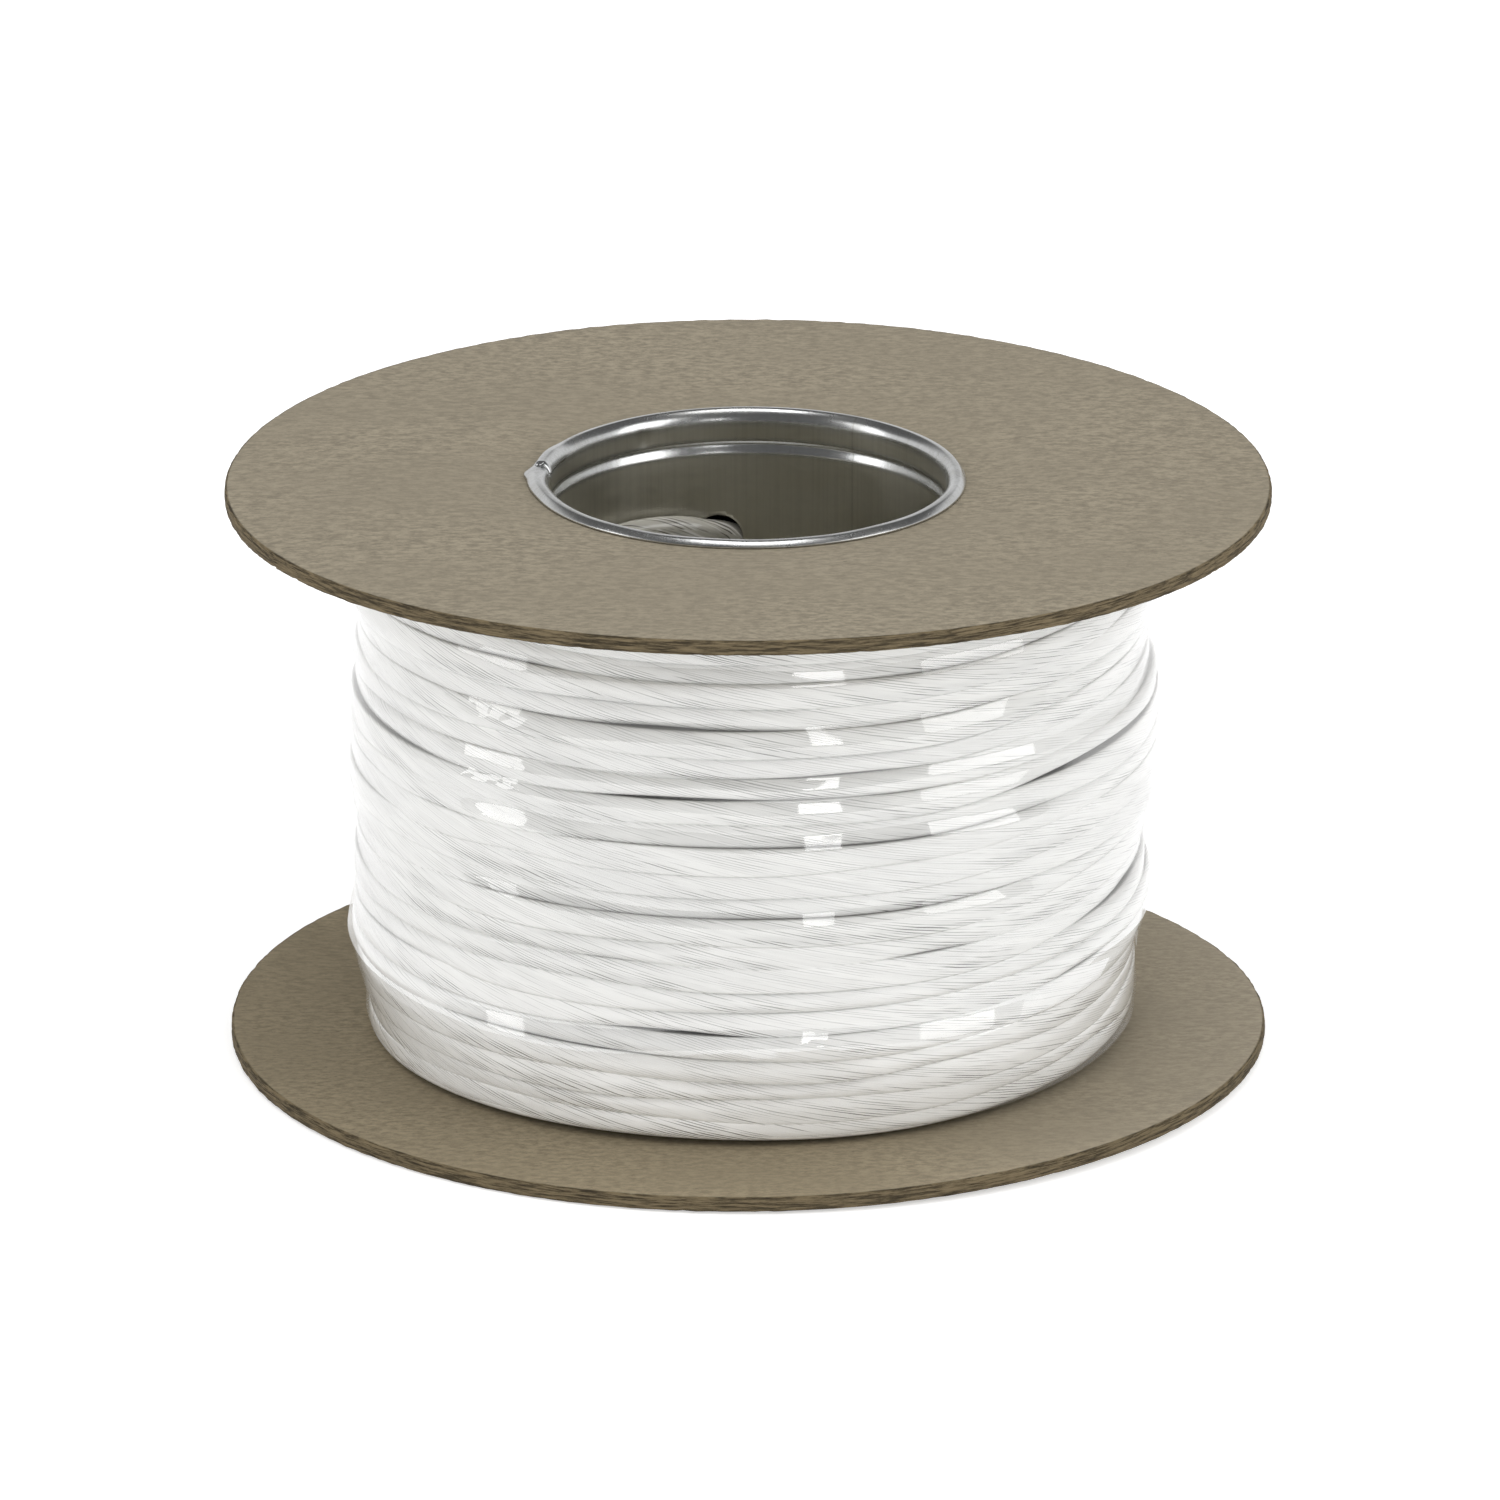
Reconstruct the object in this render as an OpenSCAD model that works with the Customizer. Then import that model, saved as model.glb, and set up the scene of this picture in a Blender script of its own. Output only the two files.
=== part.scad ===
// Cable reel: two board discs clamped on a rolled sheet-metal core, wound with
// clear-insulated stranded cable under a stretch-film wrap.
// Origin: on the reel's axis, at the lowest point of the lower rim. +Z runs along the bore.

/* [Flange boards] */
// Outer diameter of both board discs
flange_d = 200; // [180:1:240]
// Thickness of the board
board_t = 3; // [2:0.1:4]
// Distance across the outer faces of the two boards
reel_w = 112; // [90:1:140]
// How far the clamped hub draws each board in
dish = 1.5; // [0.5:0.1:2.5]
// Diameter inside which the board starts to draw in
dish_d = 120; // [104:1:140]
// Rounding of the punched edge
edge_round = 0.4; // [0.2:0.1:0.8]

/* [Sheet-metal core] */
// Diameter of the bore
bore_d = 76; // [60:1:84]
// Thickness of the sheet
sheet_t = 0.45; // [0.3:0.05:0.6]
// Width of the rim that is curled over the board
curl_w = 3.6; // [3:0.1:4.4]
// Straight leg of the curl, below its half-round
curl_leg = 0.35; // [0.1:0.05:0.8]
// Depth of the flat that the rim is pressed to, where the reel stands
crest_flat = 0.05; // [0.05:0.01:0.12]
// Radius of the bead's groove, as seen in the bore
bead_r = 1.1; // [0.8:0.1:1.6]
// Width of the lap where the sheet's two edges meet
lap_w = 7; // [5:0.5:10]
// Direction of the lap's edge, seen from above
lap_az = 181; // [120:1:240]

/* [Start hole] */
// Diameter of the hole that the cable starts through
hole_d = 10; // [9.5:0.5:12]
// Depth of the hole's centre below the upper board's outer face
hole_depth = 25.2; // [22:0.2:36]
// Direction of the hole, seen from above
hole_az = 99; // [60:1:110]

/* [Cable] */
// Outer diameter of the insulated cable
cable_d = 4.2; // [3.6:0.1:4.4]
// Loops of the outer layer
loops = 22; // [18:1:23]
// Outer diameter of the winding where it is thinnest
wind_d = 154; // [140:1:164]
// How far groups of turns bulge past that
bulge_h = 1.2; // [0.6:0.1:2]
// Height of one bulge
bulge_pitch = 12.4; // [9:0.1:16]
// Share of a loop in which the cable steps over to the next one
step_share = 0.25; // [0.15:0.01:0.4]
// Direction in which the loops step over
step_az = -50; // [-90:1:-10]
// Radius of the bend that takes a cable end under the layer
tuck_r = 6; // [5:0.5:8]

/* [Film] */
// Wall of the stretched film
film_t = 0.3; // [0.2:0.05:0.5]
// Room between the turns and the film
film_gap = 0.4; // [0.3:0.05:0.8]

/* [Fits] */
// Room between the core and the hole in a board
board_fit = 0.1; // [0.05:0.01:0.2]
// Room between the winding and what it is wound on
wind_fit = 0.1; // [0.05:0.01:0.2]

/* [Hidden] */
$fn = 96;

bore_r = bore_d / 2;
tube_r = bore_r + sheet_t;             // outside of the tube
curl_r = curl_w / 2;                   // outside of the curl's half-round
hole_in_board_r = tube_r + board_fit;
flange_r = flange_d / 2;
dish_r = dish_d / 2;
seat_r = bore_r + curl_w + 1;          // the board is level under the curl

// Heights from the lowest point of the lower rim
curl_rise = curl_leg + curl_r - crest_flat;  // rim above the board beside it
face_lo = curl_rise - dish;            // outer face of the lower board
face_hi = face_lo + reel_w;            // outer face of the upper board
reel_h = face_hi + face_lo;
mid_z = reel_h / 2;
wind_lo = face_lo + board_t;           // the space that the winding fills
wind_hi = face_hi - board_t;
curl_cz = face_hi - dish + curl_leg;   // centre of the upper curl
bead_out_r = bead_r + sheet_t;
// The bead's shoulder carries the rim of the board's hole
bead_z = wind_hi - dish - sqrt(pow(bead_out_r, 2) - pow(sheet_t + board_fit, 2));
hole_z = face_hi - hole_depth;
lap_deg = lap_w / tube_r * 180 / PI;
weld = sheet_t / 2;                    // how far the lap's two sheets run into one

// Winding
cable_r = cable_d / 2;
turn_r = wind_d / 2 - cable_r;         // centre line of the outer loops, at their lowest
rings = 24;                            // rings in one loop
sides = 6;                             // sides of the cable's section
// Outside of the layers beneath: the loop's chords lie a little inside its circle
layer_r = turn_r * cos(180 / rings) - cable_r - wind_fit;
pitch = (wind_hi - wind_lo - 2 * wind_fit - cable_d) / loops;
tuck_steps = 4;                        // rings in the bend at each end

function bulge(z) = bulge_h * (1 - cos(360 * (z - wind_lo) / bulge_pitch)) / 2;

// Height of the cable after a number of loops: level, then one step of a pitch
function smooth(x) = x * x * (3 - 2 * x);
function loop_z(turns) = wind_lo + wind_fit + cable_r
    + pitch * (floor(turns) + smooth(max(0, (turns - floor(turns) - (1 - step_share)) / step_share)));
function loop_az(turns) = step_az + 360 * turns;
function spot(az, r, z) = [r * cos(az), r * sin(az), z];
function loop_point(turns) =
    let (z = loop_z(turns)) spot(loop_az(turns), turn_r + bulge(z), z);

// A cable end leaves the layer along its loop, turns in towards the axis and runs
// straight for one diameter. way is 1 past the last loop and -1 before the first.
function tuck(turns, way) =
    let (p = loop_point(turns), az = loop_az(turns),
         along = way * [-sin(az), cos(az), 0], inward = [-cos(az), -sin(az), 0],
         bend = [for (i = [1:tuck_steps]) let (a = 90 * i / tuck_steps)
             p + tuck_r * (sin(a) * along + (1 - cos(a)) * inward)])
    concat(bend, [bend[tuck_steps - 1] + cable_d * inward]);
function backwards(list) = [for (i = [len(list) - 1:-1:0]) list[i]];

loop_points = [for (i = [0:loops * rings]) loop_point(i / rings)];
wound_path = concat(backwards(tuck(0, -1)), loop_points, tuck(loops, 1));

// The cable's start: degrees past the hole, distance in from the bore wall and height
// above the hole's centre. It comes out of the first turn, and its end is cut square.
START_ROUTE = [
    [-34, -2.7, -2.4], [-28, -2.7, -2.4], [-22, -2.7, -2.4], [-17, -2.7, -2.2], [-13, -2.7, -1.9],
    [-10, -2.7, -1.4], [-7, -2.65, -0.8], [-4.4, -2, -0.1], [-2.2, -1.1, 0.45], [0, 0, 1],
    [2.2, 0.9, 1.5], [4.4, 1.7, 2], [7, 2.3, 2.6], [10, 2.5, 3.1], [14, 2.5, 3.5], [20, 2.4, 3.9],
    [28, 2.4, 4.2], [36, 2.4, 4.3], [44, 2.4, 4.2], [52, 2.4, 3.9], [60, 2.4, 3.4], [68, 2.4, 2.8],
    [76, 2.4, 2.1], [84, 2.4, 1.3]];
start_sides = 8;
start_path = [for (p = START_ROUTE) spot(hole_az + p[0], bore_r - p[1], hole_z + p[2])];

// Sweeping a section along a path
function unit(v) = v / norm(v);
function heading(path, i) = unit(path[min(i + 1, len(path) - 1)] - path[max(i - 1, 0)]);
// Corners of the section at one point: the first lies level, square to the path
function ring(path, i, r, n) =
    let (t = heading(path, i), side = unit(cross(t, [0, 0, 1])), up = cross(side, t))
    [for (k = [0:n - 1]) let (a = 360 * k / n) path[i] + r * (cos(a) * side + sin(a) * up)];

module swept(path, r, n) {
    count = len(path);
    points = [for (i = [0:count - 1]) each ring(path, i, r, n)];
    walls = [for (i = [0:count - 2], k = [0:n - 1])
        let (a = i * n + k, b = i * n + (k + 1) % n) each [[a, b, b + n], [a, b + n, a + n]]];
    last = (count - 1) * n;
    caps = [for (k = [1:n - 2]) each [[0, k + 1, k], [last, last + k, last + k + 1]]];
    polyhedron(points = points, faces = concat(walls, caps));
}

// Least distance from one loop's corners to the next loop's, near the same direction
loop_rings = [for (i = [0:loops * rings]) ring(loop_points, i, cable_r, sides)];
least_gap = min([for (i = [0:(loops - 1) * rings - 1], j = [-1:1], a = loop_rings[i],
                      b = loop_rings[i + rings + j]) norm(a - b)]);
echo(str("least gap of the wound cable to itself: ", least_gap, " mm"));

// Half section of the upper board, with its outer face at height 0
module board_section() {
    e = edge_round;
    polygon([[hole_in_board_r, -dish], [seat_r, -dish], [dish_r, 0], [flange_r - e, 0], [flange_r, -e],
        [flange_r, e - board_t], [flange_r - e, -board_t], [dish_r, -board_t],
        [seat_r, -board_t - dish], [hole_in_board_r, -board_t - dish]]);
}

module upper_flange() {
    color("#968d79") translate([0, 0, face_hi]) rotate_extrude() board_section();
}

module lower_flange() {
    color("#87795f") translate([0, 0, face_lo]) mirror([0, 0, 1]) rotate_extrude() board_section();
}

// The curl's section: a half-round over a short leg that stands on the board.
// outer is the radius of its outside, wall the thickness of what is drawn and from_r
// where it begins, measured from the reel's axis.
module curl_section(outer, wall, from_r) {
    centre_r = bore_r + curl_r;
    intersection() {
        translate([centre_r, curl_cz]) difference() {
            circle(outer);
            circle(outer - wall);
        }
        translate([from_r, curl_cz]) square([2 * curl_w, curl_rise - curl_leg]);
    }
    translate([centre_r + outer - wall, curl_cz - curl_leg]) square([wall, curl_leg]);
}

// Half section of the tube from its middle up to the upper rim
module tube_section() {
    difference() {
        union() {
            translate([bore_r, mid_z]) square([sheet_t, curl_cz - mid_z]);
            intersection() {
                translate([bore_r, bead_z]) circle(bead_out_r);
                translate([bore_r, bead_z - bead_out_r]) square(2 * bead_out_r);
            }
        }
        translate([bore_r, bead_z]) circle(bead_r);
    }
    curl_section(curl_r, sheet_t, bore_r);
}

// Repeats the upper half below the middle of the reel
module both_ends() {
    children();
    translate([0, 0, 2 * mid_z]) mirror([0, 0, 1]) children();
}

module lap_strip(room) {
    room_deg = room / tube_r * 180 / PI;
    half_h = bead_z - bead_out_r - mid_z + room;
    rotate([0, 0, lap_az - lap_deg - room_deg]) rotate_extrude(angle = lap_deg + 2 * room_deg)
        translate([tube_r - weld, mid_z - half_h]) square([weld + sheet_t + room, 2 * half_h]);
}

module start_hole(length) {
    translate([0, 0, hole_z]) rotate([0, 90, hole_az]) cylinder(d = hole_d, h = length);
}

module core_tube() {
    color("#a3a39c") {
        difference() {
            both_ends() rotate_extrude() tube_section();
            start_hole(2 * bore_r);
        }
        lap_strip(0);
        both_ends() rotate([0, 0, lap_az - lap_deg]) rotate_extrude(angle = lap_deg)
            curl_section(curl_r + sheet_t, sheet_t + weld, tube_r);
    }
}

// Room for the cable as it starts around the core, before the hole
module start_groove() {
    room = 2 * wind_fit;
    from = START_ROUTE[0][0] - room / bore_r * 180 / PI;
    groove_w = cable_d - START_ROUTE[0][2] + START_ROUTE[9][2] + 2 * room;
    rotate([0, 0, hole_az + from]) rotate_extrude(angle = -from + hole_d / bore_r * 60)
        translate([bore_r, hole_z + START_ROUTE[0][2] - cable_r - room])
            square([-START_ROUTE[0][1] + cable_r + room, groove_w]);
}

// Room under the outer layer for the end of the cable that is tucked in there
module tuck_notch(turns, way) {
    z = loop_z(turns);
    floor_r = turn_r + bulge(z) - tuck_r - cable_d;
    along = tuck_r + cable_d + cable_r;
    rotate([0, 0, loop_az(turns)])
        translate([floor_r, way > 0 ? -cable_r : cable_r - along, z - cable_r - wind_fit])
            cube([turn_r - floor_r, along, cable_d + 2 * wind_fit]);
}

module inner_winding() {
    in_r = tube_r + wind_fit;
    color("#b9b7b0") difference() {
        rotate_extrude() difference() {
            polygon([[in_r, wind_lo + dish + wind_fit], [seat_r, wind_lo + dish + wind_fit],
                [dish_r, wind_lo + wind_fit], [layer_r, wind_lo + wind_fit], [layer_r, wind_hi - wind_fit],
                [dish_r, wind_hi - wind_fit], [seat_r, wind_hi - dish - wind_fit],
                [in_r, wind_hi - dish - wind_fit]]);
            for (z = [bead_z, 2 * mid_z - bead_z]) translate([bore_r, z]) circle(bead_out_r + wind_fit);
        }
        lap_strip(wind_fit);
        start_groove();
        tuck_notch(0, -1);
        tuck_notch(loops, 1);
    }
}

module outer_winding() {
    color("#dedcd6") swept(wound_path, cable_r, sides);
}

module cable_start() {
    color("#d2d0c8") swept(start_path, cable_r, start_sides);
}

module film_wrap() {
    steps = 6;                         // points in one bulge
    dz = bulge_pitch / steps;
    lo = wind_lo + wind_fit;
    hi = wind_hi - wind_fit;
    heights = concat([for (z = [lo:dz:hi - dz / 2]) z], [hi]);
    function skin(out) = [for (z = heights) [wind_d / 2 + film_gap + out + bulge(z), z]];
    color("#eef0f0", 0.4) rotate_extrude() polygon(concat(skin(film_t), backwards(skin(0))));
}

upper_flange();
lower_flange();
core_tube();
inner_winding();
outer_winding();
cable_start();
film_wrap();
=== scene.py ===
"""Cable reel: two board discs on a rolled sheet-metal core, wound with clear-insulated cable.

Every length is in metres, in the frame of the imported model: the origin is on the reel's axis at the
lowest point of the lower rim, and +Z runs along the bore. Azimuths are seen from above: 0 is +X and
-90 degrees is the front.
"""

import logging
import math
from dataclasses import dataclass
from enum import Enum
from typing import Callable, Sequence, Union

import bmesh
import bpy
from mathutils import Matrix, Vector, noise


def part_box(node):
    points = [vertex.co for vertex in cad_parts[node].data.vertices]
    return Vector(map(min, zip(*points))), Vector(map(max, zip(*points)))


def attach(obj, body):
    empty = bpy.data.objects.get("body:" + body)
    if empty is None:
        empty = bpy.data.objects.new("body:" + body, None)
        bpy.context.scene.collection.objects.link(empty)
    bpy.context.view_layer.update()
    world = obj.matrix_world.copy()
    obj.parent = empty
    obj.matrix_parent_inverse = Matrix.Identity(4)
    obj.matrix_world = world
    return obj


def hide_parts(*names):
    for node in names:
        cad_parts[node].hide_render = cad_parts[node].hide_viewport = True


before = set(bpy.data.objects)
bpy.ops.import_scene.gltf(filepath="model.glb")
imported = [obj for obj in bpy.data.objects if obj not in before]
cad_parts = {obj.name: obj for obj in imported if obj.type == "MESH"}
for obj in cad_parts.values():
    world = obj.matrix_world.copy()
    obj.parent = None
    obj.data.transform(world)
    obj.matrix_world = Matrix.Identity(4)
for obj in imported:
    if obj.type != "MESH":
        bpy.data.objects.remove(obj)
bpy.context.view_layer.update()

log = logging.getLogger("cable_reel")

MM = 0.001
BODY = "root"
WHITE = (1.0, 1.0, 1.0)
BLACK = (0.0, 0.0, 0.0)

Colour = tuple[float, float, float]
Point = tuple[float, float]


class Slot(Enum):
    """The record's material slots."""

    BOARD = "board"
    METAL = "sheet_metal"
    CABLE = "cable"
    FILM = "film"


def linear(red: int, green: int, blue: int) -> Colour:
    """Turns a display colour into a linear one.

    Args:
        red: Red, from 0 to 255.
        green: Green, from 0 to 255.
        blue: Blue, from 0 to 255.

    Returns:
        The linear colour, from 0 to 1.
    """
    def channel(level: int) -> float:
        """Returns one linear channel."""
        share = level / 255
        return share / 12.92 if share <= 0.04045 else ((share + 0.055) / 1.055) ** 2.4

    return channel(red), channel(green), channel(blue)


def shade(colour: Colour, level: float) -> Colour:
    """Returns a colour made darker or lighter."""
    return tuple(min(1.0, level * part) for part in colour)


def ripple(*place: float) -> float:
    """Returns smooth noise from -1 to 1 at a place of one to three numbers."""
    return noise.noise(Vector((tuple(place) + (0.37, 0.71))[:3]))


def ring_ripple(azimuth: float, turns: float, level: float, aside: float = 0.0) -> float:
    """Gives smooth noise that closes on itself around the axis.

    Args:
        azimuth: Azimuth in radians.
        turns: How often it changes around, as the radius of its circle in the noise.
        level: Its third number, such as a height.
        aside: Shifts the circle, for another pattern.

    Returns:
        The noise, from -1 to 1.
    """
    return ripple(turns * math.cos(azimuth) + aside, turns * math.sin(azimuth), level)


def smooth(share: float) -> float:
    """Returns an eased share, level at 0 and at 1."""
    share = min(1.0, max(0.0, share))
    return share * share * (3 - 2 * share)


def spot(azimuth: float, radius: float, height: float) -> Vector:
    """Returns the point at an azimuth in radians, a radius and a height."""
    return Vector((radius * math.cos(azimuth), radius * math.sin(azimuth), height))


# ------------------------------------------------------------------------------------ shader maths


class Sock:
    """A shader socket that takes part in Python arithmetic: each operator adds its Math node."""

    def __init__(self, graph: "Graph", socket: bpy.types.NodeSocket) -> None:
        """Wraps an output socket of a graph."""
        self.graph = graph
        self.socket = socket

    def __add__(self, other: "Value") -> "Sock":
        """Returns the sum."""
        return self.graph.math("ADD", self, other)

    def __sub__(self, other: "Value") -> "Sock":
        """Returns the difference."""
        return self.graph.math("SUBTRACT", self, other)

    def __rsub__(self, other: "Value") -> "Sock":
        """Returns the difference from a number."""
        return self.graph.math("SUBTRACT", other, self)

    def __mul__(self, other: "Value") -> "Sock":
        """Returns the product."""
        return self.graph.math("MULTIPLY", self, other)

    def __abs__(self) -> "Sock":
        """Returns the value without its sign."""
        return self.graph.math("ABSOLUTE", self)

    __radd__ = __add__
    __rmul__ = __mul__

    def axis(self, name: str) -> "Sock":
        """Returns the X, Y or Z of a vector."""
        return self.graph.node("ShaderNodeSeparateXYZ", {}, {"Vector": self}, out=name)

    def between(self, low: float, high: float, first: float = 0.0, last: float = 1.0) -> "Sock":
        """Turns the value into one that changes smoothly from low to high.

        Args:
            low: Where the change begins.
            high: Where it ends.
            first: The value below low.
            last: The value above high.

        Returns:
            The new value, a mask from 0 to 1 if first and last are left out.
        """
        return self.graph.node(
            "ShaderNodeMapRange",
            {"interpolation_type": "SMOOTHSTEP"},
            {"Value": self, "From Min": low, "From Max": high, "To Min": first, "To Max": last},
        )


Value = Union[float, Colour, Sock]


class Graph:
    """Builds the node tree of a material or of the world."""

    # Numbers of a Mix node's colour sockets, which share their names with others
    MIX_FIRST, MIX_SECOND, MIX_RESULT = 6, 7, 2

    def __init__(self, name: str, world: bool = False) -> None:
        """Starts an empty node tree.

        Args:
            name: Name of the material or the world.
            world: Whether it is a world.
        """
        self.owner = (bpy.data.worlds if world else bpy.data.materials).new(name)
        self.owner.use_nodes = True
        self.tree = self.owner.node_tree
        self.tree.nodes.clear()

    def node(self, kind: str, settings: dict | None = None, inputs: dict | None = None,
             out: int | str = 0) -> Sock:
        """Adds a node.

        Args:
            kind: The node's type.
            settings: What is set on the node first.
            inputs: Values or links of its sockets, by name or number.
            out: The output socket that is returned.

        Returns:
            The node's output.
        """
        made = self.tree.nodes.new(kind)
        for key, value in (settings or {}).items():
            setattr(made, key, value)
        for key, value in (inputs or {}).items():
            socket = made.inputs[key]
            if isinstance(value, Sock):
                self.tree.links.new(value.socket, socket)
            elif isinstance(value, tuple) and len(value) < len(socket.default_value):
                socket.default_value = (*value, 1.0)
            else:
                socket.default_value = value
        return Sock(self, made.outputs[out])

    def math(self, operation: str, *values: Value) -> Sock:
        """Returns the output of a new Math node."""
        return self.node("ShaderNodeMath", {"operation": operation}, dict(enumerate(values)))

    def place(self, kind: str = "Object") -> Sock:
        """Returns texture coordinates: Object, UV or the world's Generated."""
        return self.node("ShaderNodeTexCoord", out=kind)

    def rays(self, *kinds: str) -> Sock:
        """Tells kinds of ray apart from the others.

        Args:
            kinds: The kinds, in the words of the Light Path node.

        Returns:
            1 for rays of these kinds and 0 for others.
        """
        first, *others = (self.node("ShaderNodeLightPath", out=f"Is {kind} Ray") for kind in kinds)
        for other in others:
            first = self.math("MAXIMUM", first, other)
        return first

    def noise(self, place: Sock, detail: float, roughness: float = 0.5) -> Sock:
        """Adds noise.

        Args:
            place: Where it is read.
            detail: Its detail.
            roughness: Its roughness.

        Returns:
            The noise, mostly from 0.3 to 0.7.
        """
        return self.node(
            "ShaderNodeTexNoise",
            {"noise_dimensions": "3D"},
            {"Vector": place, "Scale": 1.0, "Detail": detail, "Roughness": roughness},
        )

    def grain(self, scale: Colour, detail: float, roughness: float = 0.5,
              turn: Colour = (0.0, 0.0, 0.0)) -> Sock:
        """Gives noise on Object coordinates that is drawn out along an axis.

        Args:
            scale: How often it changes per metre of each axis.
            detail: Detail of the noise.
            roughness: Roughness of the noise.
            turn: How it is turned, in radians around each axis.

        Returns:
            The noise, mostly from 0.3 to 0.7.
        """
        inputs = {"Vector": self.place(), "Scale": scale, "Rotation": turn}
        return self.noise(self.node("ShaderNodeMapping", {}, inputs), detail, roughness)

    def blend(self, factor: Value, first: Value, second: Value) -> Sock:
        """Returns a mix of two colours."""
        inputs = {"Factor": factor, self.MIX_FIRST: first, self.MIX_SECOND: second}
        return self.node("ShaderNodeMix", {"data_type": "RGBA"}, inputs, out=self.MIX_RESULT)

    def bump(self, height: Sock, strength: float, distance: float) -> Sock:
        """Returns a normal that follows a height."""
        inputs = {"Height": height, "Strength": strength, "Distance": distance}
        return self.node("ShaderNodeBump", {}, inputs)

    def surface(self, **inputs: Value) -> bpy.types.Material:
        """Closes the material with a Principled shader.

        Args:
            inputs: Its sockets, with underscores for spaces.

        Returns:
            The material.
        """
        named = {name.replace("_", " "): value for name, value in inputs.items()}
        return self.close(self.node("ShaderNodeBsdfPrincipled", {}, named))

    def close(self, shader: Sock) -> bpy.types.Material | bpy.types.World:
        """Links a shader to the output, which finishes the node tree.

        Args:
            shader: The shader.

        Returns:
            The material or the world.
        """
        kind = "World" if isinstance(self.owner, bpy.types.World) else "Material"
        end = self.tree.nodes.new(f"ShaderNodeOutput{kind}")
        self.tree.links.new(shader.socket, end.inputs["Surface"])
        return self.owner


# ---------------------------------------------------------------------------------------- finishes


@dataclass(frozen=True)
class BoardFinish:
    """Grey-brown solid board: short fibres along X, specks, and a darker layered edge.

    Attributes:
        name: The material's name.
        face: Colour of the faces.
        edge: Colour of the punched edge.
        rim: Radius at which the edge begins.
        painted_side_light: Painted light and shade: how much lighter the right side is. The left one
            is darker by LEFT times as much.
    """

    name: str
    face: Colour
    edge: Colour
    rim: float
    painted_side_light: float = 0.0

    LEFT = 1.6

    def build(self) -> bpy.types.Material:
        """Returns the material."""
        graph = Graph(self.name)
        place = graph.place()
        across = place.axis("X")
        fibres = graph.grain((430.0, 850.0, 850.0), 6.0, 0.75)
        clouds = graph.grain((22.0, 38.0, 38.0), 3.0)
        flecks = graph.grain((700.0, 1500.0, 1500.0), 1.0).between(0.70, 0.78)
        layers = graph.grain((150.0, 150.0, 2400.0), 5.0, 0.75)
        flat = graph.node(
            "ShaderNodeVectorMath", {"operation": "MULTIPLY"}, {0: place, 1: (1.0, 1.0, 0.0)}
        )
        radius = graph.node("ShaderNodeVectorMath", {"operation": "LENGTH"}, {0: flat}, out="Value")
        on_edge = radius.between(self.rim - 0.75 * MM, self.rim - 0.35 * MM)

        light, dark = shade(self.face, 1.26), shade(self.face, 0.74)
        face = graph.blend(fibres.between(0.34, 0.66), dark, light)
        face = graph.blend(clouds.between(0.3, 0.7) * 0.5, face, shade(self.face, 0.93))
        face = graph.blend(flecks * 0.5, face, shade(self.face, 0.5))
        # Painted light and shade: the right side of the face made lighter and the left side darker
        face = graph.blend(across.between(0.0, self.rim) * self.painted_side_light, face, WHITE)
        left = (0.0 - across).between(0.0, self.rim) * self.painted_side_light * self.LEFT
        face = graph.blend(left, face, BLACK)
        light, dark = shade(self.edge, 1.66), shade(self.edge, 0.34)
        torn = graph.blend(layers.between(0.37, 0.63), dark, light)
        height = fibres * (1.0 - on_edge) * 0.6 + layers * on_edge * 2.0
        return graph.surface(
            Base_Color=graph.blend(on_edge, face, torn),
            Roughness=0.85,
            Specular_IOR_Level=0.2,
            Normal=graph.bump(height, 0.3, 0.2 * MM),
        )


@dataclass(frozen=True)
class TinFinish:
    """Tinned sheet: dull on the wall, burnished on the curls and beads, with smears and scratches.

    Attributes:
        name: The material's name.
        dull: Colour of the wall.
        bright: Colour of the formed edges.
        middle: Height of the reel's middle.
        curl: Distance from there to where a curl begins.
        bead: Distance from there to a bead.
        line: Where a thin dark line runs along the tube, in radians.
    """

    name: str
    dull: Colour
    bright: Colour
    middle: float
    curl: float
    bead: float
    line: float = math.radians(58)

    def build(self) -> bpy.types.Material:
        """Returns the material."""
        graph = Graph(self.name)
        place = graph.place()
        away = abs(place.axis("Z") - self.middle)
        curled = away.between(self.curl - 1.2 * MM, self.curl + 1.2 * MM)
        formed = curled + (1.0 - abs(away - self.bead).between(0.9 * MM, 2.2 * MM))
        drawn = graph.grain((1600.0, 1600.0, 24.0), 2.0)
        rolled = graph.grain((70.0, 70.0, 2600.0), 2.0)
        smears = graph.grain((60.0, 60.0, 100.0), 4.0, 0.6)
        nicks = graph.grain((900.0, 260.0, 500.0), 1.0, turn=(0.3, 0.2, 0.6)).between(0.72, 0.76)

        back = place.axis("Y")
        aside = place.axis("X") * math.sin(self.line) - back * math.cos(self.line)
        line = (1.0 - abs(aside).between(0.05 * MM, 0.3 * MM)) * back.between(0.0, 5 * MM)
        tint = graph.blend(formed, self.dull, self.bright)
        tint = graph.blend(line * 0.3, tint, shade(self.dull, 0.5))
        tint = graph.blend(smears.between(0.45, 0.75) * 0.3, tint, shade(self.dull, 0.7))
        tint = graph.blend(drawn.between(0.4, 0.7) * 0.15, tint, shade(self.dull, 0.6))
        relief = drawn * 0.15 + rolled * 0.12 + smears * 0.6 - nicks * 0.4
        return graph.surface(
            Base_Color=tint,
            Metallic=1.0,
            Roughness=0.38 - formed * 0.18 + smears.between(0.35, 0.7) * 0.10,
            Normal=graph.bump(relief, 0.12, 0.35 * MM),
        )


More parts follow.
